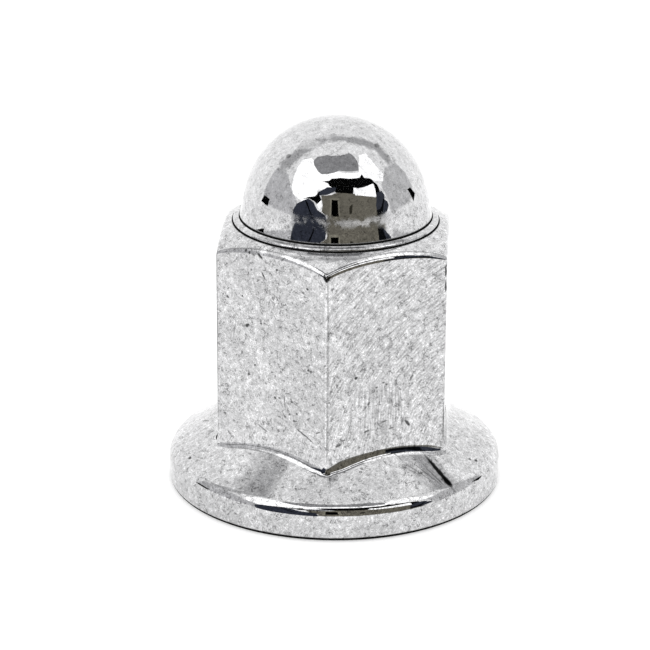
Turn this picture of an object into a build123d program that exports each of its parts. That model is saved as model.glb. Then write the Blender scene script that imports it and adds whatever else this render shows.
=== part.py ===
from build123d import *
import os
from math import cos, pi, radians, tan

# A one-piece flanged cap nut. Sizes are in millimetres and angles in degrees.
# The origin is the middle of the flat bearing face, with +Z up through the dome.

# Thread, open at the bearing face and blind under the dome
thread_diameter = 8.0
thread_pitch = 1.25
bore_depth = 15.0
drill_point_angle = 118.0
mouth_angle = 90.0
mouth_oversize = 0.5

# Hexagon, up to the point of each corner
across_flats = 12.0
corner_height = 13.73
edge_radius = 0.25

# Crowned shoulder between the corners and the land
crown_rise = 0.84
crown_radius = 4.2

# Raised land around the foot of the dome
land_inset = 0.58
land_width = 0.345
land_step = 0.23
land_slope = 12.0
land_edge_break = 0.08

# Dome, standing on a foot that flares out to the land
dome_lift = 0.4
foot_flare = 0.165
foot_start_angle = 9.0

# Flange
flange_diameter = 17.9
rim_height = 1.73
flange_slope = 31.0
rim_edge_radius = 0.85
sole_edge_break = 0.28
root_radius = 0.6

# Sizes that follow from the ones above
flat_distance = across_flats / 2
corner_distance = flat_distance / cos(pi / 6)
crown_height = corner_height + crown_rise
land_radius = flat_distance - land_inset
land_height = crown_height + land_step
land_drop = land_width * tan(radians(land_slope))
foot_radius = land_radius - land_width
dome_radius = foot_radius - foot_flare
dome_centre = land_height + dome_lift
flange_radius = flange_diameter / 2
flange_peak = rim_height + flange_radius * tan(radians(flange_slope))
bore_radius = (thread_diameter - thread_pitch) / 2
bore_end = bore_depth + bore_radius / tan(radians(drill_point_angle / 2))
mouth_radius = (thread_diameter + mouth_oversize) / 2
mouth_depth = (mouth_radius - bore_radius) / tan(radians(mouth_angle / 2))

with BuildPart() as cap_nut:
    # Hexagon with one corner to the front and one to the back
    with BuildSketch():
        RegularPolygon(flat_distance, 6, major_radius=False, rotation=30)
    extrude(amount=crown_height)

    # The crown turned onto the hexagon leaves an arch at the top of each flat
    with BuildSketch(Plane.XZ):
        with BuildLine():
            crown = RadiusArc((land_radius, crown_height), (corner_distance, corner_height), crown_radius)
            Polyline(crown @ 1, (corner_distance, 0), (0, 0), (0, crown_height), crown @ 0)
        make_face()
    revolve(axis=Axis.Z, mode=Mode.INTERSECT)
    arches = cap_nut.edges().filter_by(GeomType.BSPLINE)
    uprights = cap_nut.edges().filter_by(Axis.Z)
    fillet(arches + uprights, edge_radius)

    # Coned flange with a rounded rim
    with BuildSketch(Plane.XZ) as section:
        Polygon((0, 0), (flange_radius, 0), (flange_radius, rim_height), (0, flange_peak), align=None)
        sole_corner, rim_corner = section.vertices().group_by(Axis.X)[-1].sort_by(Axis.Y)
        chamfer(sole_corner, sole_edge_break)
        fillet(section.vertices().sort_by_distance(rim_corner)[0], rim_edge_radius)
    revolve(axis=Axis.Z)

    # The root fillet follows the plan of the hexagon
    cone_edges = cap_nut.faces().filter_by(GeomType.CONE).edges()
    fillet(cone_edges.filter_by(GeomType.HYPERBOLA) + cone_edges.filter_by(GeomType.BSPLINE), root_radius)

    # Land and dome in one turned profile
    with BuildSketch(Plane.XZ) as section:
        with BuildLine():
            dome = CenterArc((0, dome_centre), dome_radius, foot_start_angle, 90 - foot_start_angle)
            foot = TangentArc(dome @ 0, (foot_radius, land_height), tangent=dome % 0 * -1)
            Polyline(
                foot @ 1,
                (land_radius, land_height - land_drop),
                (land_radius, crown_height),
                (0, crown_height),
                dome @ 1,
            )
        make_face()
        land_corner = section.vertices().group_by(Axis.X)[-1].sort_by(Axis.Y)[-1]
        chamfer(land_corner, land_edge_break)
    revolve(axis=Axis.Z)

    # Blind tapping bore with a countersunk mouth and the cone that the drill leaves
    with BuildSketch(Plane.XZ):
        Polygon(
            (0, 0),
            (mouth_radius, 0),
            (bore_radius, mouth_depth),
            (bore_radius, bore_depth),
            (0, bore_end),
            align=None,
        )
    revolve(axis=Axis.Z, mode=Mode.SUBTRACT)

cap_nut.part.label = "cap_nut"
os.makedirs("parts", exist_ok=True)
export_step(cap_nut.part, "parts/cap_nut.step")
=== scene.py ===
# A chromed cap nut on white paper. The CAD gives its place and its size. The mesh is the same form with the
# thread cut and the edges rounded as the real ones are, and the plate on it is worn.
import math

import bmesh
import bpy
import numpy as np
from mathutils import Matrix, Vector


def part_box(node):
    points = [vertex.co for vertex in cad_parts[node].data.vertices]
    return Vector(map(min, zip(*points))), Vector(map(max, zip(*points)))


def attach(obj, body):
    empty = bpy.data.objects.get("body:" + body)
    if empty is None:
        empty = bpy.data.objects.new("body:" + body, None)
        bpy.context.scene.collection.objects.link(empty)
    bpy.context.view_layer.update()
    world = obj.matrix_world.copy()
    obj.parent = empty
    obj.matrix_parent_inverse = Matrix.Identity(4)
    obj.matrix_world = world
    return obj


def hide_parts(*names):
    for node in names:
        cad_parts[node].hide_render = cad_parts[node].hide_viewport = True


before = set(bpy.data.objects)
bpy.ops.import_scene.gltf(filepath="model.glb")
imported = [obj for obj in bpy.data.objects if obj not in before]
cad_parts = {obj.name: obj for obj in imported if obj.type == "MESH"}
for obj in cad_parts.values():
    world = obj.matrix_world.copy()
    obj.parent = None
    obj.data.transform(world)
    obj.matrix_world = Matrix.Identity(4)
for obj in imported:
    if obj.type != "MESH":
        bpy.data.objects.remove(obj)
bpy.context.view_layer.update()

mm = 0.001
lowCorner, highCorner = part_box("cap_nut")
flangeRadius = (highCorner.x - lowCorner.x) / 2 / mm


# A colour as it is read off a screen, turned to the linear values that the shader wants
def linearColor(hexText):
    parts = [int(hexText[i:i + 2], 16) / 255 for i in (0, 2, 4)]
    return [c / 12.92 if c <= 0.04045 else ((c + 0.055) / 1.055) ** 2.4 for c in parts] + [1.0]


# One node with its settings and links. Inputs may be numbers, colours or the sockets of other nodes.
def addNode(tree, kind, inputs=None, **settings):
    node = tree.nodes.new(kind)
    for name, value in settings.items():
        setattr(node, name, value)
    for name, value in (inputs or {}).items():
        if isinstance(value, bpy.types.NodeSocket):
            tree.links.new(value, node.inputs[name])
        else:
            node.inputs[name].default_value = value
    return node


# The nut's turned and milled form, in millimetres. Heights are from the sole.
form = {
    "acrossFlats": 12.0,
    "cornerHeight": 13.73,      # where the crown would meet a sharp corner
    "uprightEdge": 0.17,        # rounding of the six upright edges
    "archEdge": 0.46,           # rounding where the crown meets the flats
    "crownRise": 0.84,
    "crownRadius": 4.2,
    "landInset": 0.58,          # from the flats in to the raised land
    "landWidth": 0.32,
    "landStep": 0.23,
    "landSlope": math.radians(12),
    "landEdge": 0.13,
    "stepCrease": 0.10,
    "footCrease": 0.07,
    "domeRadius": 4.91,
    "domeLift": 0.4,            # of the dome's centre above the land
    "footStart": math.radians(9),       # lean of the dome's wall where it turns into its hollow foot
    "footEnd": math.radians(17.5),
    "footBend": 1.5,            # above 1 the lean grows mostly near the bottom
    "rimHeight": 1.73,          # sharp corner of the rim
    "coneSlope": math.radians(31),
    "rimEdge": 0.85,
    "soleEdge": 0.28,
    "rootRadius": 0.42,         # of the root where it runs out on the cone
    "rootSwell": 1.3,           # added where it leaves the flats
    "rootTurn": math.radians(21),       # turn at which the swell is over
    "rootFade": math.radians(1.5),      # turn in which it dies away
    "rootCorner": 0.8,          # share by which the swell grows near the six corners
    "rootCornerReach": math.radians(13),
    "rootPinch": 1.1,           # share by which it shrinks again right at a corner
    "rootPinchReach": math.radians(3),
    "threadRadius": 4.0,
    "threadPitch": 1.25,
    "threadDepth": 13.0,
    "threadFlank": math.radians(30),
    "threadFlat": 1 / 7,        # of a pitch, at the bottom of the groove
    "boreDepth": 15.0,
    "drillPoint": math.radians(59),
    "mouthOversize": 0.25,
    "mouthRing": 0.6,           # plain ring of the sole round the mouth
}

# How finely the mesh follows the form: rows from the sole up, then columns and steps
grid = {
    "sole": 4,
    "soleEdge": 8,
    "rimEdge": 18,
    "cone": 16,
    "root": 22,
    "flat": 34,
    "arch": 15,
    "crown": 11,
    "stepCrease": 7,
    "landEdge": 9,
    "footCrease": 7,
    "foot": 12,
    "dome": 50,
    "topGap": 0.02,             # radians from the dome's last row to its top
    "edgeColumns": 12,          # round each upright edge
    "flatColumns": 48,
    "threadRows": 12,           # to a turn of the thread
    "rootSteps": 800,
    "rootTries": 5,             # times that a column's landing place is put right
    "footSteps": 200,
    "sameDigits": 6,            # points that agree to this many decimals of a millimetre are one
}

sixth = math.pi / 3
flatDistance = form["acrossFlats"] / 2
cornerDistance = flatDistance / math.cos(sixth / 2)

# rounding of an upright edge: its centre's distance from the axis, and the angle it takes beside the corner
edgeCentre = (flatDistance - form["uprightEdge"]) / math.cos(sixth / 2)
edgeAngle = math.atan2(form["uprightEdge"] * math.sin(sixth / 2),
                       edgeCentre + form["uprightEdge"] * math.cos(sixth / 2))

crownTop = form["cornerHeight"] + form["crownRise"]
landRadius = flatDistance - form["landInset"]
landTop = crownTop + form["landStep"]
footRadius = landRadius - form["landWidth"]
domeRadius = form["domeRadius"]
domeCentre = landTop + form["domeLift"]
coneTop = form["rimHeight"] + flangeRadius * math.tan(form["coneSlope"])    # if it ran in to the axis
boreRadius = form["threadRadius"] - form["threadPitch"] / 2
mouthRadius = form["threadRadius"] + form["mouthOversize"]
skinPerBore = 3     # columns of the skin to one of the bore


# How far an angle is from the nearest of the six corners
def fromCorner(angle):
    return np.abs((angle + sixth / 2) % sixth - sixth / 2)


# Distance from the axis to the hexagon's side at an angle, with its corners rounded
def hexRadius(angle):
    off = fromCorner(angle)
    flat = flatDistance / np.cos(sixth / 2 - off)
    inside = np.clip(form["uprightEdge"] ** 2 - (edgeCentre * np.sin(off)) ** 2, 0, None)
    rounded = edgeCentre * np.cos(off) + np.sqrt(inside)
    return np.where(off < edgeAngle, rounded, flat)


# Rows of points are four arrays: radius, height, and the direction of travel in radius and in height. These
# run along an arc, whose ends may differ with the angle.
def arcRows(centreR, centreZ, radius, start, end, count):
    turn = start + (end - start) * np.linspace(0, 1, count)[:, None]
    way = np.sign(np.mean(end - start))
    return [
        centreR + radius * np.cos(turn),
        centreZ + radius * np.sin(turn),
        -way * np.sin(turn),
        way * np.cos(turn),
    ]


def lineRows(startR, startZ, endR, endZ, count):
    share = np.linspace(0, 1, count)[:, None]
    runR, runZ = endR - startR, endZ - startZ
    length = np.hypot(runR, runZ)
    return [
        startR + runR * share,
        startZ + runZ * share,
        runR / length + 0 * share,
        runZ / length + 0 * share,
    ]


# Fillet between two straight runs that meet at a corner, given as unit directions away from it
def cornerArc(corner, dirA, dirB, radius, count):
    corner, dirA, dirB = (np.array(v, float) for v in (corner, dirA, dirB))
    half = math.acos(float(dirA @ dirB)) / 2
    middle = (dirA + dirB) / np.linalg.norm(dirA + dirB)
    centre = corner + middle * radius / math.sin(half)
    startPoint = corner + dirA * radius / math.tan(half) - centre
    endPoint = corner + dirB * radius / math.tan(half) - centre
    start = math.atan2(startPoint[1], startPoint[0])
    swing = (math.atan2(endPoint[1], endPoint[0]) - start + math.pi) % (2 * math.pi) - math.pi
    return arcRows(centre[0], centre[1], radius, start, start + swing, count)


# Stretches of rows end to end, each without its first row where that is the last one's end
def joinRows(stretches, angle):
    one = np.ones_like(angle)
    return [np.concatenate([stretch[k][min(i, 1):] * one for i, stretch in enumerate(stretches)])
            for k in range(4)]


# Circle of the crown through the land's edge and the sharp corner, bulging outwards
def crownCircle():
    inner = np.array([landRadius, crownTop])
    outer = np.array([cornerDistance, form["cornerHeight"]])
    chord = outer - inner
    half = np.linalg.norm(chord) / 2
    back = math.sqrt(form["crownRadius"] ** 2 - half ** 2)
    centre = (inner + outer) / 2 + np.array([chord[1], -chord[0]]) / (2 * half) * back
    return centre[0], centre[1], math.atan2(inner[1] - centre[1], inner[0] - centre[0])


# The hollow foot, from the land up to the dome: its wall leans out faster the lower it gets
def footCurve():
    start, end = form["footStart"], form["footEnd"]
    last = grid["footSteps"] - 1
    fall = np.linspace(0, 1, grid["footSteps"])
    lean = start + (end - start) * fall ** form["footBend"]
    top = domeCentre + domeRadius * math.sin(start)
    length = (top - landTop) / np.mean(np.cos(lean))
    stepR = np.sin(lean) * length / last
    stepZ = np.cos(lean) * length / last
    radius = domeRadius * math.cos(start) + np.cumsum(stepR) - stepR[0]
    height = top - np.cumsum(stepZ) + stepZ[0]
    pick = np.linspace(last, 0, grid["foot"]).round().astype(int)
    rows = [radius[pick], height[pick], -np.sin(lean[pick]), np.cos(lean[pick])]
    return [row[:, None] for row in rows]


# Place of a point from its angle round the axis, its radius and its height
def place(angle, radius, height):
    return np.stack([radius * np.sin(angle), -radius * np.cos(angle), height + 0 * angle], axis=-1)


def unit(vectors):
    return vectors / np.linalg.norm(vectors, axis=-1, keepdims=True)


# Outward direction of the hexagon's side at an angle, level with the floor
def sideNormal(angle):
    step = 1e-6
    along = place(angle + step, hexRadius(angle + step), 0) - place(angle - step, hexRadius(angle - step), 0)
    return unit(np.cross(along, [0, 0, 1.0]))


# The root: each column leaves its flat, sweeps outwards and lands on the cone, square to both
def rootSweep(angle):
    slope = form["coneSlope"]
    mostTurn = math.radians(80)     # more than any column needs
    turn = np.linspace(0, mostTurn, grid["rootSteps"])
    off = fromCorner(angle)
    swell = 1 + form["rootCorner"] * np.exp(-(off / form["rootCornerReach"]) ** 2)
    swell = swell - form["rootPinch"] * np.exp(-(off / form["rootPinchReach"]) ** 2)
    swellSize = form["rootSwell"] / (1 + np.exp((turn - form["rootTurn"]) / form["rootFade"]))

    # how far a turn has led outwards and downwards
    def travelled(bend):
        lengths = []
        for wave in (np.sin(turn), np.cos(turn)):
            even = form["rootRadius"] * np.cumsum(wave) * turn[1]
            added = np.cumsum(swellSize * wave) * turn[1]
            lengths.append((np.interp(bend, turn, even) + swell * np.interp(bend, turn, added))[..., None])
        return lengths

    start = place(angle, hexRadius(angle), 0)
    level = sideNormal(angle)
    landing = angle.copy()
    for _ in range(grid["rootTries"]):
        coneNormal = place(landing, math.sin(slope), math.cos(slope))
        upright = unit(coneNormal - level * (coneNormal * level).sum(-1, keepdims=True))
        total = np.arccos((coneNormal * level).sum(-1))
        outward, downward = travelled(total)
        end = start + outward * level - downward * upright
        landing = angle + (np.arctan2(end[:, 0], -end[:, 1]) - angle + math.pi) % (2 * math.pi) - math.pi
    start[:, 2] = coneTop - np.hypot(end[:, 0], end[:, 1]) * math.tan(slope) - end[:, 2]
    bend = total * np.linspace(1, 0, grid["root"])[:, None]
    outward, downward = travelled(bend)
    points = start + outward * level - downward * upright
    normals = np.cos(bend)[..., None] * level + np.sin(bend)[..., None] * upright
    return points, normals, landing, start[:, 2]


# Everything above the root: flats, arches, crown, land, foot and dome
def upperRows(angle, flatStart):
    side = hexRadius(angle)
    crownR, crownZ, crownEnd = crownCircle()
    archR = side - form["archEdge"]
    archZ = crownZ + np.sqrt((form["crownRadius"] - form["archEdge"]) ** 2 - (archR - crownR) ** 2)
    archEnd = np.arctan2(archZ - crownZ, archR - crownR)
    crownDir = (math.sin(crownEnd), -math.cos(crownEnd))
    landDrop = form["landWidth"] * math.tan(form["landSlope"])
    landDir = (-math.cos(form["landSlope"]), math.sin(form["landSlope"]))
    foot = footCurve()
    footBase = (foot[0][0, 0], foot[1][0, 0])
    footDir = (-math.sin(form["footEnd"]), math.cos(form["footEnd"]))
    stretches = [
        lineRows(side, flatStart, side, archZ, grid["flat"]),
        arcRows(archR, archZ, form["archEdge"], 0 * archEnd, archEnd, grid["arch"]),
        arcRows(crownR, crownZ, form["crownRadius"], archEnd, crownEnd, grid["crown"]),
        cornerArc((landRadius, crownTop), crownDir, (0, 1), form["stepCrease"], grid["stepCrease"]),
        cornerArc((landRadius, landTop - landDrop), (0, -1), landDir, form["landEdge"], grid["landEdge"]),
        cornerArc(footBase, (-landDir[0], -landDir[1]), footDir, form["footCrease"], grid["footCrease"]),
        [row[1:] for row in foot],
        arcRows(0.0, domeCentre, domeRadius, form["footStart"], math.pi / 2 - grid["topGap"], grid["dome"]),
    ]
    return joinRows(stretches, angle)


# Sole, its rounded edge, the rim and the cone, as points and the way they face
def lowerSkin(angle, landing, coneEnd):
    slope = form["coneSlope"]
    rim = cornerArc((flangeRadius, form["rimHeight"]), (0, -1), (-math.cos(slope), math.sin(slope)),
                    form["rimEdge"], grid["rimEdge"])
    stretches = [
        lineRows(mouthRadius + form["mouthRing"], 0.0, flangeRadius - form["soleEdge"], 0.0, grid["sole"]),
        cornerArc((flangeRadius, 0), (-1, 0), (0, 1), form["soleEdge"], grid["soleEdge"]),
        rim,
        lineRows(rim[0][-1], rim[1][-1], coneEnd, coneTop - coneEnd * math.tan(slope), grid["cone"]),
    ]
    radius, height, alongR, alongZ = joinRows(stretches, angle)
    pastRim = np.arange(len(radius)) - (len(radius) - grid["cone"])
    onCone = np.clip(pastRim, 0, None)[:, None] / (grid["cone"] - 1)
    turned = angle + (landing - angle) * onCone
    return place(turned, radius, height), place(turned, alongZ, -alongR)


# Points and outward normals of the whole skin, one column per angle, and the row where the flats begin
def outerSkin(angle):
    step = 1e-5
    root, rootNormals, landing, flatStart = rootSweep(angle)
    lower, lowerNormals = lowerSkin(angle, landing, np.hypot(root[0, :, 0], root[0, :, 1]))
    before, here, after = (upperRows(angle + way, flatStart) for way in (-step, 0, step))
    around = place(angle + step, after[0], after[1]) - place(angle - step, before[0], before[1])
    upper = place(angle, here[0], here[1])
    upperNormals = np.cross(around, place(angle, here[2], here[3]))
    points = np.concatenate([lower[:-1], root, upper[1:]])
    normals = np.concatenate([lowerNormals[:-1], rootNormals, upperNormals[1:]])
    return points, unit(normals), len(lower) + len(root) - 2


# Columns crowd at the six rounded corners and are even along the flats
def columnAngles():
    corner = np.linspace(-edgeAngle, edgeAngle, grid["edgeColumns"] + 1)[:-1]
    flat = np.linspace(edgeAngle, sixth - edgeAngle, grid["flatColumns"] + 1)[:-1]
    return np.concatenate([np.concatenate([corner, flat]) + k * sixth for k in range(6)])


# Thread cut in the bore, with its countersunk mouth. The rows climb with the helix.
def threadRows(angle):
    pitch, perTurn = form["threadPitch"], grid["threadRows"]
    turns = math.ceil(form["threadDepth"] / pitch)
    row = np.arange(perTurn * (turns + 1) + 1)[:, None]
    height = np.clip((row / perTurn - 1 + angle / (2 * math.pi)) * pitch, 0, form["threadDepth"])
    offGroove = np.abs((height / pitch - angle / (2 * math.pi)) % 1 - 0.5) * pitch
    flank = np.clip((offGroove - pitch * form["threadFlat"] / 2) / math.tan(form["threadFlank"]), 0, None)
    depth = np.clip(form["threadRadius"] - boreRadius - flank, 0, None)
    depth = depth * np.clip((form["threadDepth"] - height) / pitch, 0, 1)
    return np.maximum(boreRadius + depth, mouthRadius - height), height


# Plain end of the bore, the cone that the drill leaves, and the height of its point
def drilledEnd(angle):
    point = form["boreDepth"] + boreRadius / math.tan(form["drillPoint"])
    narrowing = np.array([1.0, 0.5, 0.1])[:, None]
    radius = boreRadius * narrowing
    height = point - radius / math.tan(form["drillPoint"])
    return radius + 0 * angle, height + 0 * angle, point


# Quads between the rows of a ring grid. The last column meets the first, some rows further up.
def ringFaces(first, rows, columns, flip=False, shift=0):
    faces = []
    for i in range(rows - 1 - shift):
        for j in range(columns):
            up, right = (shift, 1 - columns) if j == columns - 1 else (0, 1)
            here = first + i * columns + j
            there = here + right + up * columns
            face = (here, there, there + columns, here + columns)
            faces.append(face[::-1] if flip else face)
    for i in range(rows - 1 - shift, rows - 1):
        for j in range(columns - 1):
            here = first + i * columns + j
            face = (here, here + 1, here + 1 + columns, here + columns)
            faces.append(face[::-1] if flip else face)
    return faces


# Points that fall on one another become one, and a face keeps its different corners. The first list tells
# which of the old points each new one is.
def mergePoints(points, faces):
    merged, where = np.unique(np.round(points, grid["sameDigits"]), axis=0, return_inverse=True)
    where = where.reshape(-1)
    firsts = np.full(len(merged), -1)
    firsts[where[::-1]] = np.arange(len(points))[::-1]
    kept = [list(dict.fromkeys(where[list(face)].tolist())) for face in faces]
    return firsts, [face for face in kept if len(face) > 2]


# Painted shade, from 0 to 1, which the plate shows as dark matt colour: dark lines painted in the crease of
# the foot, at the step's base and where the left front flat turns out into the root, and a painted contact
# shadow under the sole's edge. The film at the end only dulls the plate. Sizes are in mm.
paintedShade = {
    "footHeight": 14.83,
    "footReach": 0.028,
    "footMargin": 0.05,
    "stepHeight": 14.60,
    "stepReach": 0.055,
    "stepMargin": 0.12,
    "soleHeight": 0.29,
    "soleMargin": 0.03,
    "rootRows": 8,              # rows of the mesh below the start of the flat
    "rootDepth": 0.62,
    "rootFrom": math.radians(303),
    "rootTo": math.radians(356),
    "filmHeight": 15.95,        # greasy film that dulls the bottom of the dome
    "filmReach": 0.3,
}


# Painted shade and film at every point, with the painted dark line at the root on one row of the skin
def shadeAndFilmAt(points, angle, flatRow):
    radius = np.hypot(points[:, 0], points[:, 1])
    height = points[:, 2]
    # painted shade in the foot's crease
    foot = np.exp(-((height - paintedShade["footHeight"]) / paintedShade["footReach"]) ** 2)
    foot = foot * (radius < footRadius + paintedShade["footMargin"])
    # painted shade at the step's base
    step = np.exp(-((height - paintedShade["stepHeight"]) / paintedShade["stepReach"]) ** 2)
    step = step * (np.abs(radius - landRadius) < paintedShade["stepMargin"])
    # painted contact shadow under the sole's edge, darkest at the floor
    sole = np.clip(2 - 2 * height / paintedShade["soleHeight"], 0, 1)
    sole = sole * (radius > flangeRadius - form["soleEdge"] + paintedShade["soleMargin"])
    shadeMask = np.clip(foot + step + sole, 0, 1)
    # painted dark line on the row where the left front flat turns out into the root
    line = (flatRow - paintedShade["rootRows"]) * len(angle)
    onLeft = (angle > paintedShade["rootFrom"]) & (angle < paintedShade["rootTo"])
    shadeMask[line:line + len(angle)] = paintedShade["rootDepth"] * onLeft
    return shadeMask, np.exp(-((height - paintedShade["filmHeight"]) / paintedShade["filmReach"]) ** 2)


# The whole nut as one closed mesh, with the skin's exact normals
def buildNut(name):
    angle = columnAngles()
    skin, skinNormals, flatRow = outerSkin(angle)
    rows, columns = skin.shape[:2]
    print("mesh: skin of", rows, "rows and", columns, "columns")
    faces = ringFaces(0, rows, columns)
    domeTop = rows * columns
    lastRow = domeTop - columns
    faces += [(lastRow + j, lastRow + (j + 1) % columns, domeTop) for j in range(columns)]

    # the bore and the drill's point
    few = angle[::skinPerBore]
    threadR, threadZ = threadRows(few)
    endR, endZ, pointHeight = drilledEnd(few)
    bore = place(few, np.concatenate([threadR, endR]), np.concatenate([threadZ, endZ]))
    boreFirst = domeTop + 1
    faces += ringFaces(boreFirst, len(threadR), len(few), flip=True, shift=grid["threadRows"])
    endFirst = boreFirst + (len(threadR) - 1) * len(few)
    faces += ringFaces(endFirst, len(endR) + 1, len(few), flip=True)
    drillTop = boreFirst + bore.shape[0] * len(few)
    lastRow = drillTop - len(few)
    faces += [(lastRow + (j + 1) % len(few), lastRow + j, drillTop) for j in range(len(few))]

    # the ring of the sole round the mouth
    for j in range(len(few)):
        inA, inB = boreFirst + j, boreFirst + (j + 1) % len(few)
        outs = [(skinPerBore * j + k) % columns for k in range(skinPerBore + 1)]
        faces += [(inA, outs[1], outs[0]), (inA, inB, outs[2], outs[1]), (inB, outs[3], outs[2])]

    domePoint = [[0, 0, domeCentre + domeRadius]]
    drillPoint = [[0, 0, pointHeight]]
    points = np.concatenate([skin.reshape(-1, 3), domePoint, bore.reshape(-1, 3), drillPoint])
    firsts, faces = mergePoints(points, faces)
    mesh = bpy.data.meshes.new(name)
    mesh.from_pydata((points[firsts] * mm).tolist(), [], faces)
    mesh.polygons.foreach_set("use_smooth", [True] * len(mesh.polygons))
    normals = np.array([vertex.normal for vertex in mesh.vertices])
    onSkin = firsts < domeTop
    normals[onSkin] = skinNormals.reshape(-1, 3)[firsts[onSkin]]
    mesh.normals_split_custom_set_from_vertices(normals.tolist())
    # the painted shade and the film go on the mesh as point attributes
    for layer, values in zip(("paintedShade", "film"), shadeAndFilmAt(points, angle, flatRow)):
        mesh.attributes.new(layer, "FLOAT", "POINT").data.foreach_set("value", values[firsts])
    piece = bpy.data.objects.new(name, mesh)
    bpy.context.scene.collection.objects.link(piece)
    return piece


print("mesh: turning the nut")
nutBody = buildNut("nutBody")
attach(nutBody, "root")
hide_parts("cap_nut")


# Chromium plate on turned steel, bright but handled. A sharp mirror under a net of fine wipe marks, smears
# and specks, so that the flats look frosted while the dome still shows the studio. Sizes are in mm.
plate = {
    "color": "C9C9CA",
    # colour of the painted crease shade and of the painted contact shadow under the sole
    "paintedShadeColor": "0D0D0D",
    "roughness": 0.03,
    "filmRoughness": 0.35,  # added under the film
    "paintedShadeRoughness": 0.6,  # added where shade is painted
    "paintedShadeNone": 0.28,      # painted shade below this does not show
    "paintedShadeFull": 0.6,
    "filmPatch": 0.5,       # size of the film's patches
    "filmNone": 0.3,
    "filmFull": 0.6,
    "peel": 0.75,           # between the waves that polishing leaves
    "peelHeight": 0.0022,
    "domeShare": 0.6,       # how strongly the dome is worn, next to the rest
    "domeFade": 1.5,        # height over which the wear falls to that share
}

# Layers of wear. Size is that of their noise. Real wipe marks are a few hundredths of a millimetre wide, and
# these are drawn two or three times as coarse so that they show. Dark and light are how far the plate is
# dimmed where the noise is low and brightened where it is high. A folded layer makes thin lines where its
# noise crosses the middle. Over tells where a layer lies.
wear = {
    "speckle": {"over": "all", "size": 0.13, "detail": 2.0, "warp": 1.2,
                "low": 0.38, "high": 0.62, "dark": -0.20, "light": 0.10},
    "smear": {"over": "all", "size": 0.5, "detail": 3.0, "warp": 1.8,
              "low": 0.42, "high": 0.60, "dark": -0.12, "light": 0.06},
    "haze": {"over": "all", "size": 3.0, "detail": 2.0, "warp": 0.4,
             "low": 0.30, "high": 0.70, "dark": -0.10, "light": 0.05},
    "darkWorm": {"over": "flecks", "size": 0.26, "detail": 0.6, "warp": 1.8, "fold": True,
                 "low": 0.0, "high": 0.075, "dark": -0.70, "light": 0.05},
    "lightWorm": {"over": "bareFlecks", "size": 0.24, "detail": 0.6, "warp": 1.8, "fold": True,
                  "low": 0.0, "high": 0.07, "dark": 0.45, "light": -0.05},
    "darkHair": {"over": "patches", "size": 0.60, "detail": 1.5, "warp": 2.4, "fold": True,
                 "low": 0.0, "high": 0.016, "dark": -0.45, "light": 0.0},
    "sweep": {"over": "sweep", "size": 0.10, "detail": 1.0, "warp": 0.5,
              "low": 0.34, "high": 0.54, "dark": -0.27, "light": 0.09},
    "brush": {"over": "brush", "size": 0.12, "detail": 0.5, "warp": 0.2,
              "low": 0.40, "high": 0.58, "dark": -0.24, "light": 0.12},
}
wearGrain = 0.65    # how strong the finer detail in those layers is

# Patches that some layers keep to: size of the noise in mm, and its values where a layer is gone and is full
spread = {
    "patches": {"size": 1.111, "gone": 0.45, "full": 0.60},
    "flecks": {"size": 0.357, "gone": 0.48, "full": 0.60},
    "bareFlecks": {"size": 0.357, "gone": 0.50, "full": 0.40},
}

# The right front flat was wiped in arcs about a point beyond its edge, and a patch of it in upright strokes
sweep = {
    "azimuth": math.radians(30),
    "skinDepth": 0.02,      # mm under the flat that still take its marks
    "floor": 3.33,          # mm up, above the flange
    "across": 8.2,          # mm from the flat's middle to the arcs' centre
    "height": 1.0,
    "stretch": 5.5,         # length of a stroke over its width
    "brushAcross": -0.4,
    "brushHeight": 6.0,
    "brushWidth": 4.0,
    "brushLength": 3.4,
    "brushStretch": 12,
    "brushGone": 1.1,       # share of the patch's half size where the strokes are gone
    "brushFull": 0.7,
}
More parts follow.
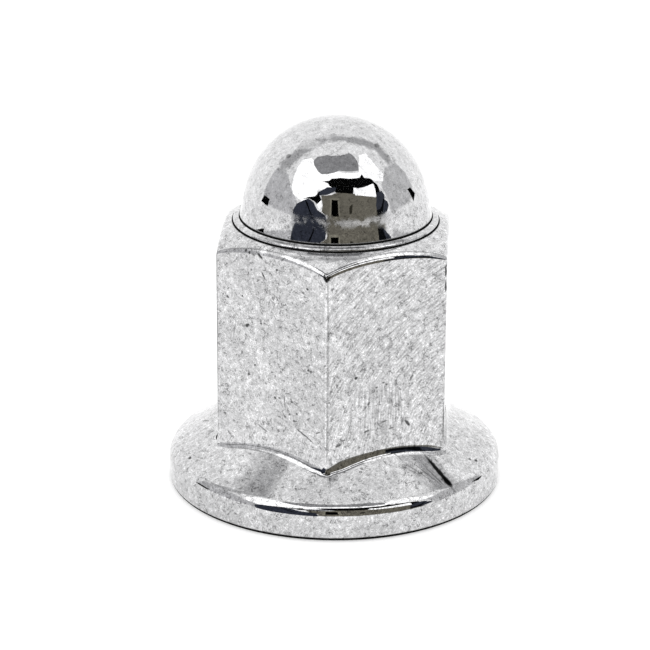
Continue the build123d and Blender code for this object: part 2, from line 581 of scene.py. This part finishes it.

# Pits and scratches, with painted highlights, painted shade and a painted dark reflection among them. At is a
# mark's place: across from the middle line and up on a flat, azimuth and radius on the flange's cone, azimuth
# and elevation on the dome. Size is its length and width, and lean turns it. Keeps is how much light it
# leaves, above
# 1 where a highlight is painted. Sizes are in mm, angles in degrees.
flats = {"leftFlat": -30, "rightFlat": 30}
marks = {
    "dome": {
        "spotA": {"at": (-42.6, 46.2), "size": (0.26, 0.24), "keeps": 0.45},
        "spotB": {"at": (51, 54.6), "size": (0.3, 0.24), "keeps": 0.4},
        "line": {"at": (94, 67), "size": (0.35, 0.1), "lean": 40, "keeps": 0.4},
    },
    "rightFlat": {
        "pit": {"at": (-1.76, 7.98), "size": (0.17, 0.15), "keeps": 0.08},
        "spotA": {"at": (-0.16, 7.47), "size": (0.11, 0.1), "keeps": 0.2},
        "spotB": {"at": (0.01, 7.35), "size": (0.13, 0.09), "keeps": 0.2},
        "spotC": {"at": (-0.55, 7.27), "size": (0.12, 0.09), "keeps": 0.3},
        "spotD": {"at": (-1.0, 6.45), "size": (0.2, 0.1), "lean": 50, "keeps": 0.3},
        "tick": {"at": (1.47, 7.5), "size": (0.3, 0.12), "lean": 60, "keeps": 0.35},
        "crescent": {"at": (1.27, 4.97), "size": (0.4, 0.12), "lean": -55, "keeps": 0.15},
        "dashA": {"at": (-0.11, 5.29), "size": (0.3, 0.08), "lean": 10, "keeps": 0.3},
        "dashB": {"at": (0.31, 4.84), "size": (0.25, 0.08), "keeps": 0.35},
        "dashC": {"at": (-1.1, 4.92), "size": (0.35, 0.09), "lean": 12, "keeps": 0.3},
        "dashD": {"at": (-2.77, 4.4), "size": (0.3, 0.13), "lean": 15, "keeps": 0.25},
        "dashE": {"at": (-2.54, 4.63), "size": (0.25, 0.09), "keeps": 0.35},
        "cornerA": {"at": (3.38, 13.1), "size": (0.6, 0.09), "lean": 88, "keeps": 0.1},
        "cornerB": {"at": (3.4, 12.2), "size": (0.5, 0.1), "lean": 92, "keeps": 0.12},
        "cornerC": {"at": (3.42, 4.6), "size": (1.9, 0.09), "lean": 90, "keeps": 0.3},
        "topCorner": {"at": (-3.36, 13.64), "size": (0.35, 0.12), "lean": 55, "keeps": 0.1},
        # painted shade: a grey band down the front upright edge
        "frontEdgeShade": {"at": (-3.4, 8.8), "size": (9.4, 0.13), "lean": 90, "keeps": 0.72},
    },
    "leftFlat": {
        "pitA": {"at": (0.4, 13.55), "size": (0.14, 0.1), "keeps": 0.2},
        "dashA": {"at": (-0.45, 13.06), "size": (0.4, 0.08), "lean": -60, "keeps": 0.15},
        "pitB": {"at": (2.27, 12.89), "size": (0.12, 0.1), "keeps": 0.12},
        "pitC": {"at": (2.01, 12.63), "size": (0.13, 0.09), "keeps": 0.3},
        "pitD": {"at": (-1.78, 11.68), "size": (0.11, 0.1), "keeps": 0.2},
        "pitE": {"at": (-2.74, 11.45), "size": (0.13, 0.12), "keeps": 0.2},
        "pitF": {"at": (-1.49, 10.12), "size": (0.24, 0.17), "lean": 30, "keeps": 0.12},
        "pitG": {"at": (-0.62, 10.4), "size": (0.12, 0.09), "keeps": 0.25},
        "curve": {"at": (-2.31, 9.7), "size": (0.8, 0.06), "lean": 80, "keeps": 0.5},
        "pitH": {"at": (-1.01, 8.01), "size": (0.11, 0.1), "keeps": 0.25},
        "pitI": {"at": (2.33, 8.45), "size": (0.12, 0.1), "keeps": 0.15},
        "pitJ": {"at": (2.51, 8.43), "size": (0.1, 0.1), "keeps": 0.25},
        "pitK": {"at": (-1.4, 7.42), "size": (0.13, 0.1), "keeps": 0.2},
        "hair": {"at": (0.87, 6.36), "size": (0.7, 0.06), "lean": -84, "keeps": 0.35},
        "pitL": {"at": (0.26, 6.45), "size": (0.13, 0.11), "keeps": 0.25},
        "pitM": {"at": (0.53, 6.51), "size": (0.11, 0.09), "keeps": 0.35},
        "pitN": {"at": (1.31, 6.47), "size": (0.14, 0.1), "keeps": 0.25},
        "pitO": {"at": (1.63, 5.87), "size": (0.12, 0.11), "keeps": 0.25},
        "pitP": {"at": (0.87, 5.55), "size": (0.12, 0.1), "keeps": 0.3},
        "pitQ": {"at": (1.19, 5.75), "size": (0.13, 0.1), "keeps": 0.25},
        "pitR": {"at": (1.45, 5.42), "size": (0.12, 0.1), "keeps": 0.3},
        "pitS": {"at": (-2.97, 4.86), "size": (0.16, 0.12), "keeps": 0.25},
        "scratchA": {"at": (1.98, 4.86), "size": (0.75, 0.08), "lean": -27, "keeps": 0.2},
        "scratchB": {"at": (2.45, 4.6), "size": (0.4, 0.07), "lean": -28, "keeps": 0.3},
        "dashB": {"at": (2.96, 5.13), "size": (0.28, 0.08), "lean": 25, "keeps": 0.3},
        "curveB": {"at": (-0.5, 4.55), "size": (0.65, 0.07), "lean": -25, "keeps": 0.45},
        "scratchC": {"at": (-2.2, 13.6), "size": (0.5, 0.06), "lean": 47, "keeps": 0.5},
        "topCorner": {"at": (3.34, 13.66), "size": (0.4, 0.13), "lean": -62, "keeps": 0.08},
        # painted highlight on a burr at the arch, with its painted shadow below it
        "archBurrHighlight": {"at": (-0.5, 14.3), "size": (0.3, 0.32), "keeps": 1.8},
        "archBurrShade": {"at": (-0.66, 14.08), "size": (0.36, 0.11), "lean": -40, "keeps": 0.1},
        "archNickA": {"at": (-1.35, 14.15), "size": (0.14, 0.12), "keeps": 0.15},
        "archNickB": {"at": (-1.6, 14.2), "size": (0.12, 0.12), "keeps": 0.2},
        # painted highlight: a white streak down the front upright edge
        "frontEdgePaintedHighlight": {"at": (3.43, 8.8), "size": (9.0, 0.07), "lean": 90, "keeps": 1.4},
        "edgeLine": {"at": (-3.42, 9.2), "size": (10.5, 0.06), "lean": 90, "keeps": 0.55},
    },
    "cone": {
        # painted reflection of a dark edge: a black line across the flange, and its end
        "darkReflectionLine": {"at": (48.8, 7.75), "size": (2.0, 0.24), "lean": -90, "keeps": 0.02},
        "darkReflectionEnd": {"at": (48.7, 8.35), "size": (0.6, 0.34), "lean": -90, "keeps": 0.02},
        "scratch": {"at": (-88, 7.0), "size": (0.7, 0.1), "lean": 40, "keeps": 0.25},
        "pitA": {"at": (-64.5, 8.29), "size": (0.2, 0.16), "keeps": 0.1},
        "pitB": {"at": (70, 8.22), "size": (0.2, 0.16), "keeps": 0.08},
        "pitC": {"at": (68, 7.98), "size": (0.14, 0.12), "keeps": 0.25},
        "haze": {"at": (8, 7.65), "size": (6.0, 1.7), "keeps": 0.84},
        "smudge": {"at": (3.0, 7.2), "size": (0.45, 0.3), "keeps": 0.62},
        "fanA": {"at": (40, 7.4), "size": (1.5, 0.07), "lean": -62, "keeps": 0.55},
        "fanB": {"at": (43, 7.6), "size": (1.6, 0.07), "lean": -70, "keeps": 0.5},
        "fanC": {"at": (37, 7.2), "size": (1.3, 0.06), "lean": -52, "keeps": 0.55},
        "fanD": {"at": (45.5, 7.9), "size": (1.2, 0.08), "lean": -80, "keeps": 0.5},
    },
}

# How a mark is drawn, in mm
markEdge = {
    "wander": 0.04,         # by which its edge strays
    "wanderSize": 0.12,
    "depth": 0.5,           # to which it reaches into the metal, so that it stays on its own side
    "full": 0.85,           # shares of its half size where it is full and where it is gone
    "gone": 1.45,
}


# Centre of a mark and its turn: its length first, then its width, then straight out of the metal
def markPlace(surface, mark):
    first, second = mark["at"]
    azimuth = math.radians(flats.get(surface, first))
    lean = math.radians(mark.get("lean", 0))
    across = Vector((math.cos(azimuth), math.sin(azimuth), 0))
    outward = Vector((math.sin(azimuth), -math.cos(azimuth), 0))
    upward = Vector((0, 0, 1))
    if surface in flats:
        centre = across * first + outward * flatDistance + upward * second
    elif surface == "dome":
        rise = math.radians(second)
        outward = outward * math.cos(rise) + upward * math.sin(rise)
        centre = outward * domeRadius + upward * domeCentre
        upward = outward.cross(across)
    else:
        slope = form["coneSlope"]
        centre = outward * second + upward * (coneTop - second * math.tan(slope))
        outward = outward * math.sin(slope) + upward * math.cos(slope)
        upward = outward.cross(across)
    along = across * math.cos(lean) + upward * math.sin(lean)
    return centre, Matrix((along, outward.cross(along), outward)).transposed().to_euler()


# Where layers of wear may lie: for each kind of place the coordinates of the noise, and its share of a spot
def wearPlaces(tree, spot):
    places = {"all": (spot, 1.0)}
    for name, part in spread.items():
        noise = addNode(tree, "ShaderNodeTexNoise", {
            "Vector": spot, "Scale": 1 / part["size"], "Detail": 1.0}).outputs["Fac"]
        share = addNode(tree, "ShaderNodeMapRange", {
            "Value": noise, "From Min": part["gone"], "From Max": part["full"]},
            interpolation_type="SMOOTHSTEP").outputs[0]
        places[name] = (spot, share)

    # the right front flat, above the flange
    across = (math.cos(sweep["azimuth"]), math.sin(sweep["azimuth"]), 0)
    outward = (math.sin(sweep["azimuth"]), -math.cos(sweep["azimuth"]), 0)
    depth = addNode(tree, "ShaderNodeVectorMath", {
        0: spot, 1: outward}, operation="DOT_PRODUCT").outputs["Value"]
    onSide = addNode(tree, "ShaderNodeMath", {
        0: depth, 1: flatDistance - sweep["skinDepth"]}, operation="GREATER_THAN").outputs[0]
    height = addNode(tree, "ShaderNodeSeparateXYZ", {"Vector": spot}).outputs["Z"]
    onHex = addNode(tree, "ShaderNodeMath", {
        0: height, 1: sweep["floor"]}, operation="GREATER_THAN").outputs[0]
    onFlat = addNode(tree, "ShaderNodeMath", {0: onSide, 1: onHex}, operation="MULTIPLY").outputs[0]

    # its own coordinates from the arcs' centre, then the same as reach and swing
    side = addNode(tree, "ShaderNodeVectorMath", {
        0: spot, 1: across}, operation="DOT_PRODUCT").outputs["Value"]
    side = addNode(tree, "ShaderNodeMath", {0: side, 1: sweep["across"]}, operation="SUBTRACT").outputs[0]
    height = addNode(tree, "ShaderNodeMath", {0: height, 1: sweep["height"]}, operation="SUBTRACT").outputs[0]
    flatSpot = addNode(tree, "ShaderNodeCombineXYZ", {"X": side, "Y": height}).outputs[0]
    reach = addNode(tree, "ShaderNodeVectorMath", {0: flatSpot}, operation="LENGTH").outputs["Value"]
    swing = addNode(tree, "ShaderNodeMath", {0: height, 1: side}, operation="ARCTAN2").outputs[0]
    swing = addNode(tree, "ShaderNodeMath", {
        0: swing, 1: sweep["across"] / sweep["stretch"]}, operation="MULTIPLY").outputs[0]
    arcSpot = addNode(tree, "ShaderNodeCombineXYZ", {"X": reach, "Y": swing}).outputs[0]

    # the patch of upright strokes takes its place from the arcs
    brushSpot = addNode(tree, "ShaderNodeVectorMath", {
        0: flatSpot, 1: (1, 1 / sweep["brushStretch"], 1)}, operation="MULTIPLY").outputs[0]
    brushEdge = addNode(tree, "ShaderNodeMapping", {
        "Vector": flatSpot,
        "Location": (sweep["brushAcross"] - sweep["across"], sweep["brushHeight"] - sweep["height"], 0),
        "Scale": (sweep["brushWidth"] / 2, sweep["brushLength"] / 2, 1)}, vector_type="TEXTURE").outputs[0]
    brushEdge = addNode(tree, "ShaderNodeVectorMath", {0: brushEdge}, operation="LENGTH").outputs["Value"]
    brushed = addNode(tree, "ShaderNodeMapRange", {
        "Value": brushEdge, "From Min": sweep["brushGone"], "From Max": sweep["brushFull"]},
        interpolation_type="SMOOTHSTEP").outputs[0]
    brushed = addNode(tree, "ShaderNodeMath", {0: brushed, 1: onFlat}, operation="MULTIPLY").outputs[0]
    swept = addNode(tree, "ShaderNodeMath", {0: onFlat, 1: brushed}, operation="SUBTRACT").outputs[0]
    places["sweep"] = (arcSpot, swept)
    places["brush"] = (brushSpot, brushed)
    return places


# All layers of wear as one factor on the plate's colour
def wearShade(tree, spot):
    height = addNode(tree, "ShaderNodeSeparateXYZ", {"Vector": spot}).outputs["Z"]
    handled = addNode(tree, "ShaderNodeMapRange", {
        "Value": height, "From Min": domeCentre, "From Max": domeCentre + plate["domeFade"],
        "To Min": 1.0, "To Max": plate["domeShare"]}).outputs[0]
    places = wearPlaces(tree, spot)
    shade = 1.0
    for layer in wear.values():
        vector, share = places[layer["over"]]
        share = addNode(tree, "ShaderNodeMath", {0: handled, 1: share}, operation="MULTIPLY").outputs[0]
        value = addNode(tree, "ShaderNodeTexNoise", {
            "Vector": vector, "Scale": 1 / layer["size"], "Detail": layer["detail"], "Roughness": wearGrain,
            "Distortion": layer["warp"]}).outputs["Fac"]
        if layer.get("fold"):
            value = addNode(tree, "ShaderNodeMath", {0: value, 1: 0.5}, operation="SUBTRACT").outputs[0]
            value = addNode(tree, "ShaderNodeMath", {0: value}, operation="ABSOLUTE").outputs[0]
        value = addNode(tree, "ShaderNodeMapRange", {
            "Value": value, "From Min": layer["low"], "From Max": layer["high"], "To Min": layer["dark"],
            "To Max": layer["light"]}, interpolation_type="SMOOTHSTEP").outputs[0]
        value = addNode(tree, "ShaderNodeMath", {
            0: value, 1: share, 2: 1.0}, operation="MULTIPLY_ADD").outputs[0]
        shade = addNode(tree, "ShaderNodeMath", {0: shade, 1: value}, operation="MULTIPLY").outputs[0]
    return shade


# The same factor with every pit and scratch in it, and the painted highlights, shade and reflection among the
# marks
def markShade(tree, spot, shade):
    stray = addNode(tree, "ShaderNodeTexNoise", {
        "Vector": spot, "Scale": 1 / markEdge["wanderSize"], "Detail": 1.0}).outputs["Color"]
    stray = addNode(tree, "ShaderNodeVectorMath", {
        0: stray, 1: (0.5, 0.5, 0.5)}, operation="SUBTRACT").outputs[0]
    markSpot = addNode(tree, "ShaderNodeVectorMath", {
        0: stray, 1: [markEdge["wander"] * 2] * 3, 2: spot}, operation="MULTIPLY_ADD").outputs[0]
    for surface, group in marks.items():
        for mark in group.values():
            centre, turn = markPlace(surface, mark)
            length, width = mark["size"]
            local = addNode(tree, "ShaderNodeMapping", {
                "Vector": markSpot, "Location": centre, "Rotation": turn,
                "Scale": (length / 2, width / 2, markEdge["depth"])}, vector_type="TEXTURE").outputs[0]
            off = addNode(tree, "ShaderNodeVectorMath", {0: local}, operation="LENGTH").outputs["Value"]
            keeps = addNode(tree, "ShaderNodeMapRange", {
                "Value": off, "From Min": markEdge["full"], "From Max": markEdge["gone"],
                "To Min": mark["keeps"], "To Max": 1.0}).outputs[0]
            shade = addNode(tree, "ShaderNodeMath", {0: shade, 1: keeps}, operation="MULTIPLY").outputs[0]
    return shade


def chromePlate():
    material = bpy.data.materials.new("handledChromePlate")
    material.use_nodes = True
    tree = material.node_tree
    shader = tree.nodes["Principled BSDF"]
    metres = addNode(tree, "ShaderNodeTexCoord").outputs["Object"]
    spot = addNode(tree, "ShaderNodeVectorMath", {0: metres, "Scale": 1 / mm}, operation="SCALE").outputs[0]

    # painted shade is matt and dark, and covers the metal
    shade = markShade(tree, spot, wearShade(tree, spot))
    clean = addNode(tree, "ShaderNodeVectorMath", {
        0: linearColor(plate["color"])[:3], "Scale": shade}, operation="SCALE").outputs[0]
    shadeMask = addNode(tree, "ShaderNodeAttribute", attribute_name="paintedShade").outputs["Fac"]
    shadeMask = addNode(tree, "ShaderNodeMapRange", {
        "Value": shadeMask, "From Min": plate["paintedShadeNone"], "From Max": plate["paintedShadeFull"]},
        interpolation_type="SMOOTHSTEP").outputs[0]
    factor, under, over, result = 0, 6, 7, 2        # sockets of the colour mix
    mixed = addNode(tree, "ShaderNodeMix", {
        factor: shadeMask, under: clean, over: linearColor(plate["paintedShadeColor"])},
        data_type="RGBA").outputs[result]
    tree.links.new(mixed, shader.inputs["Base Color"])
    bare = addNode(tree, "ShaderNodeMath", {0: 1.0, 1: shadeMask}, operation="SUBTRACT").outputs[0]
    tree.links.new(bare, shader.inputs["Metallic"])
    shader.inputs["Specular IOR Level"].default_value = 0.0     # no gloss where shade is painted, and bare metal ignores it

    # the film lies in patches and blurs what the plate mirrors
    film = addNode(tree, "ShaderNodeAttribute", attribute_name="film").outputs["Fac"]
    patch = addNode(tree, "ShaderNodeTexNoise", {
        "Vector": spot, "Scale": 1 / plate["filmPatch"], "Detail": 3.0, "Distortion": 1.0}).outputs["Fac"]
    patch = addNode(tree, "ShaderNodeMapRange", {
        "Value": patch, "From Min": plate["filmNone"], "From Max": plate["filmFull"]},
        interpolation_type="SMOOTHSTEP").outputs[0]
    film = addNode(tree, "ShaderNodeMath", {0: film, 1: patch}, operation="MULTIPLY").outputs[0]
    dull = addNode(tree, "ShaderNodeMath", {
        0: film, 1: plate["filmRoughness"], 2: plate["roughness"]}, operation="MULTIPLY_ADD").outputs[0]
    dull = addNode(tree, "ShaderNodeMath", {
        0: shadeMask, 1: plate["paintedShadeRoughness"], 2: dull}, operation="MULTIPLY_ADD").outputs[0]
    tree.links.new(dull, shader.inputs["Roughness"])

    # waves of the polish
    peel = addNode(tree, "ShaderNodeTexNoise", {
        "Vector": spot, "Scale": 1 / plate["peel"], "Detail": 3.0, "Roughness": 0.55}).outputs["Fac"]
    bump = addNode(tree, "ShaderNodeBump", {
        "Height": peel, "Distance": plate["peelHeight"] * mm, "Strength": 1.0}).outputs[0]
    tree.links.new(bump, shader.inputs["Normal"])
    return material


print("material: chrome plate")
nutBody.data.materials.append(chromePlate())


# Stage: white paper that runs far back, in a white room
stage = {
    "floorSize": 3.0,           # metres
    "floorDrop": 0.01,          # mm below the sole, so that the two are not in one plane
    "floorColor": "CCCCCC",
    "floorRoughness": 0.9,
    "floorGlow": 0.5,           # the paper is lit from below as well, which leaves only a faint shadow
    "roomColor": "FFFFFF",
    "roomLight": 1.3,
}

# Where the studio's cards hang, in mm, round a point on the nut's axis
studio = {
    "distance": 160.0,
    "height": 15.5,
    "cloth": 28.0,              # across a fold of the cloth that the soft cards are made of
    "cuts": 4,                  # times that a card is cut finer, so that it bends
}

# The cards, which only the plate mirrors. Outlines are (azimuth, elevation) in degrees as seen from that
# point, with azimuth 0 along -Y. Light is a card's brightness where the paper's is about 1. Layer is how many
# mm nearer it hangs, and so which card covers which. Soft is the width in degrees in which its border fades.
cards = {
    "slate": {"color": "3D414D", "light": 1.0, "layer": 90, "outline": [
        (-49, 8), (-46, 16), (-38, 22), (-32, 25), (-25, 22), (-19, 14), (-8, 8), (-6, -13), (-38, -13),
        (-46, -10)]},
    "slateArm": {"color": "40444F", "light": 1.0, "layer": 1, "outline": [
        (-24, 29), (-20, 36), (-10, 42), (4, 42), (2, 37), (-8, 33), (-18, 31)]},
    "slateFold": {"color": "08090B", "light": 1.0, "layer": 91, "outline": [
        (-38, 22), (-35, 20), (-30, 13), (-22, 1), (-20, 1), (-28, 13), (-33, 21)]},
    "slateEdge": {"color": "050506", "light": 1.0, "layer": 92, "outline": [
        (-41, 23), (-32, 27), (-24, 29), (-20, 36), (-19, 31), (-15, 26), (-20, 20), (-24, 23),
        (-32, 25)]},
    "slateRight": {"color": "41454F", "light": 1.0, "layer": 0, "outline": [
        (58, 22), (63, 27), (69, 26), (71, 21), (69, 17), (72, 13), (72, 9), (68, 4), (61, 0), (54, 0),
        (54, 14)]},
    "slateRightFold": {"color": "101114", "light": 1.0, "layer": 1, "outline": [
        (69, 17), (66, 13), (63, 6), (61, 1), (54, 0), (54, 9), (60, 9), (64, 14), (67, 18)]},
    "board": {"color": "7F7B70", "light": 1.0, "layer": 1, "outline": [
        (-17, 31), (-2, 33), (5, 36), (15, 35), (29, 33), (45, 28), (59, 22), (55, 14), (54, -1),
        (40, -1), (6, -1), (-5, -1), (-7, 8), (-14, 12), (-13, 20)]},
    "bench": {"color": "85837C", "light": 1.0, "layer": -2, "soft": 3, "outline": [
        (-44, -5), (-44, 5), (66, 5), (66, -5)]},
    "slotFrame": {"color": "989486", "light": 1.0, "layer": 2, "outline": [
        (-4, 5), (-4, 29), (8, 29), (9, 5)]},
    "slot": {"color": "030303", "light": 1.0, "layer": 3, "outline": [(-2, 7), (-2, 27), (6, 27), (7, 7)]},
    "notch": {"color": "3A3830", "light": 1.0, "layer": 3, "outline": [
        (20, 10), (21, 19), (25, 21), (23, 10)]},
    "hood": {"color": "050505", "light": 1.0, "layer": 0, "outline": [
        (-21, 48), (-9, 50), (-4, 53), (13, 54), (47, 49), (54, 52), (55, 47), (64, 43), (66, 38),
        (68, 34), (67, 27), (59, 22), (60, 28), (63, 37), (38, 38), (31, 40), (28, 33), (12, 33), (3, 36),
        (-3, 42), (-8, 44), (-10, 47)]},
    "gapLeft": {"color": "FFFFFF", "light": 2.0, "layer": 3, "outline": [
        (-22, 23), (-16, 25), (-14, 20), (-16, 14), (-19, 17)]},
    "gapRight": {"color": "FFFFFF", "light": 1.9, "layer": 2, "outline": [
        (30, 38), (63, 37), (59, 23), (31, 31)]},
    "lampLeft": {"color": "FFFFFF", "light": 2.2, "layer": -1, "outline": [
        (-59, 25), (-66, 35), (-80, 52), (-86, 57), (-79, 65), (-47, 66), (-29, 56), (6, 62), (51, 55),
        (60, 44), (60, 38), (-24, 38), (-23, 26), (-40, 20), (-48, 22)]},
    "lampRight": {"color": "FFFFFF", "light": 2.0, "layer": -1, "outline": [
        (92, 68), (108, 61), (98, 57), (90, 49), (87, 36), (80, 33), (69, 38), (51, 54), (65, 63)]},
    "vent": {"color": "AAAAAC", "light": 1.0, "layer": 0, "outline": [
        (-67, 65), (-73, 71), (-60, 80), (0, 84), (60, 82), (91, 78), (65, 63), (53, 57), (12, 63),
        (-26, 56)]},
    "brightLeft": {"color": "F4F4F4", "light": 1.15, "layer": 2, "soft": 7, "outline": [
        (-110, 46), (-110, 72), (-142, 72), (-142, 46)]},
    "cornerLeft": {"color": "050505", "light": 1.0, "layer": 0, "outline": [
        (-101, 0), (-98, 6), (-87, 7), (-88, 0)]},
    "cornerRight": {"color": "050505", "light": 1.0, "layer": 0, "outline": [
        (109, 10), (116, 8), (121, 1), (114, -2)]},
    "wallLeft": {"color": "E4E4E6", "light": 1.0, "layer": -1, "soft": 1.5, "outline": [
        (-100, 1), (-102, 14), (-106, 31), (-80, 38), (-57, 26), (-46, 18), (-47, 1)]},
    "wallRight": {"color": "E4E4E5", "light": 1.0, "layer": -1, "soft": 2.5, "outline": [
        (72, 0), (72, 32), (98, 42), (122, 31), (121, 4), (112, 0)]},
}

# The seam of the studio's roof, a dull arch that goes over from side to side behind the nut
roofSeam = {
    "color": "CECECF",
    "light": 1.0,
    "layer": 0,
    "soft": 9,
    "outer": [(-104, 26), (-114, 34), (-117, 43), (-129, 55), (-154, 60), (180, 60), (160, 56), (148, 48),
              (137, 40), (126, 31), (121, 24)],
    "inner": [(-80, 30), (-84, 45), (-90, 58), (-104, 70), (-140, 78), (180, 80), (150, 78), (126, 68),
              (118, 54), (108, 44), (98, 34)],
}


# How far each point of a card lies inside its outline, in degrees
def insideOutline(flat, outline):
    inside = np.full(len(flat), np.inf)
    for start, end in zip(outline, outline[1:] + outline[:1]):
        run = np.subtract(end, start)
        share = np.clip((flat - start) @ run / (run @ run), 0, 1)[:, None]
        inside = np.minimum(inside, np.linalg.norm(flat - start - share * run, axis=1))
    return inside


# Card or cloth lit from behind: an even glow with no gloss. Cloth thins out towards its border, in folds.
def glowing(name, card):
    material = bpy.data.materials.new(name + ("GlowingCloth" if "soft" in card else "GlowingCard"))
    material.use_nodes = True
    tree = material.node_tree
    tree.nodes.clear()
    surface = addNode(tree, "ShaderNodeEmission", {
        "Color": linearColor(card["color"]), "Strength": card["light"]}).outputs[0]
    if "soft" in card:
        inward = addNode(tree, "ShaderNodeAttribute", attribute_name="inside").outputs["Fac"]
        metres = addNode(tree, "ShaderNodeTexCoord").outputs["Object"]
        cloth = addNode(tree, "ShaderNodeTexNoise", {
            "Vector": metres, "Scale": 1 / (studio["cloth"] * mm), "Detail": 4.0,
            "Distortion": 1.0}).outputs["Fac"]
        cloth = addNode(tree, "ShaderNodeMath", {0: cloth, 1: 0.5}, operation="SUBTRACT").outputs[0]
        cloth = addNode(tree, "ShaderNodeMath", {
            0: cloth, 1: card["soft"] * 2, 2: inward}, operation="MULTIPLY_ADD").outputs[0]
        shown = addNode(tree, "ShaderNodeMapRange", {
            "Value": cloth, "From Min": 0.0, "From Max": card["soft"]},
            interpolation_type="SMOOTHSTEP").outputs[0]
        clear = addNode(tree, "ShaderNodeBsdfTransparent").outputs[0]
        surface = addNode(tree, "ShaderNodeMixShader", {0: shown, 1: clear, 2: surface}).outputs[0]
    addNode(tree, "ShaderNodeOutputMaterial", {"Surface": surface})
    return material


# A glowing card that only reflections see, bent to the sphere round the nut
def hangCard(name, card, corners, faces, outline):
    sheet = bmesh.new()
    verts = [sheet.verts.new((azimuth, elevation, 0)) for azimuth, elevation in corners]
    for face in faces:
        sheet.faces.new([verts[k] for k in face])
    bmesh.ops.triangulate(sheet, faces=sheet.faces)
    for _ in range(studio["cuts"]):
        bmesh.ops.subdivide_edges(sheet, edges=sheet.edges, cuts=1, use_grid_fill=True)
    inside = insideOutline(np.array([vert.co[:2] for vert in sheet.verts]), outline)
    distance = (studio["distance"] - card["layer"]) * mm
    for vert in sheet.verts:
        around, rise = math.radians(vert.co.x), math.radians(vert.co.y)
        level = math.cos(rise)
        vert.co = Vector((level * math.sin(around), -level * math.cos(around), math.sin(rise))) * distance
        vert.co.z += studio["height"] * mm
    mesh = bpy.data.meshes.new(name)
    sheet.to_mesh(mesh)
    sheet.free()
    mesh.attributes.new("inside", "FLOAT", "POINT").data.foreach_set("value", inside)
    mesh.materials.append(glowing(name, card))
    piece = bpy.data.objects.new(name, mesh)
    bpy.context.scene.collection.objects.link(piece)
    piece.visible_camera = False
    piece.visible_diffuse = False
    piece.visible_shadow = False


def hangCards():
    for name, card in cards.items():
        outline = card["outline"]
        hangCard(name, card, outline, [range(len(outline))], outline)
    count = len(roofSeam["outer"])
    corners = [(azimuth - 360 if azimuth > 0 else azimuth, elevation)
               for azimuth, elevation in roofSeam["outer"] + roofSeam["inner"]]
    strips = [(k, k + 1, count + k + 1, count + k) for k in range(count - 1)]
    hangCard("roofSeam", roofSeam, corners, strips, corners[:count] + corners[:count - 1:-1])


# Matt uncoated paper, pressed smooth: flat white with no gloss
def whitePaper():
    material = bpy.data.materials.new("whitePaperSweep")
    material.use_nodes = True
    shader = material.node_tree.nodes["Principled BSDF"]
    shader.inputs["Base Color"].default_value = linearColor(stage["floorColor"])
    shader.inputs["Roughness"].default_value = stage["floorRoughness"]
    shader.inputs["Emission Color"].default_value = linearColor(stage["roomColor"])
    shader.inputs["Emission Strength"].default_value = stage["floorGlow"]
    return material


def buildStage():
    bpy.ops.mesh.primitive_plane_add(size=stage["floorSize"], location=(0, 0, -stage["floorDrop"] * mm))
    floor = bpy.context.object
    floor.name = "floor"
    floor.data.materials.append(whitePaper())
    world = bpy.data.worlds.new("room")
    world.use_nodes = True
    light = world.node_tree.nodes["Background"]
    light.inputs["Color"].default_value = linearColor(stage["roomColor"])
    light.inputs["Strength"].default_value = stage["roomLight"]
    bpy.context.scene.world = world


print("stage: floor, room, cards")
buildStage()
hangCards()

# Camera where the photograph was taken from. Distances are in mm, and it circles a point on the nut's axis.
cameraPlace = {
    "distance": 148.0,
    "aimHeight": 10.0,
    "elevation": math.radians(20.27),
    "azimuth": math.radians(3.566),
    "pan": math.radians(0.209),
    "tilt": math.radians(-0.515),
    "roll": math.radians(-0.354),
    "lens": 153.8,
    "sensor": 36.0,
    "nearest": 5.0,
}


def placeCamera():
    camera = bpy.data.objects.new("camera", bpy.data.cameras.new("camera"))
    bpy.context.scene.collection.objects.link(camera)
    back = Vector((0, -math.cos(cameraPlace["elevation"]), math.sin(cameraPlace["elevation"])))
    spin = Matrix.Rotation(cameraPlace["azimuth"], 3, "Z")
    axes = {"ahead": spin @ -back, "right": spin @ Vector((1, 0, 0))}
    axes["up"] = axes["right"].cross(axes["ahead"])
    for axis, turn in (("up", "pan"), ("right", "tilt"), ("ahead", "roll")):
        step = Matrix.Rotation(cameraPlace[turn], 3, axes[axis])
        axes = {name: step @ direction for name, direction in axes.items()}
    aim = Vector((0, 0, cameraPlace["aimHeight"]))
    camera.location = (aim + cameraPlace["distance"] * (spin @ back)) * mm
    camera.rotation_euler = Matrix((axes["right"], axes["up"], -axes["ahead"])).transposed().to_euler()
    camera.data.lens = cameraPlace["lens"]
    camera.data.sensor_width = cameraPlace["sensor"]
    camera.data.clip_start = cameraPlace["nearest"] * mm
    bpy.context.scene.camera = camera


print("camera: in place")
placeCamera()
bpy.context.scene.view_settings.view_transform = "Standard"

bpy.context.view_layer.update()
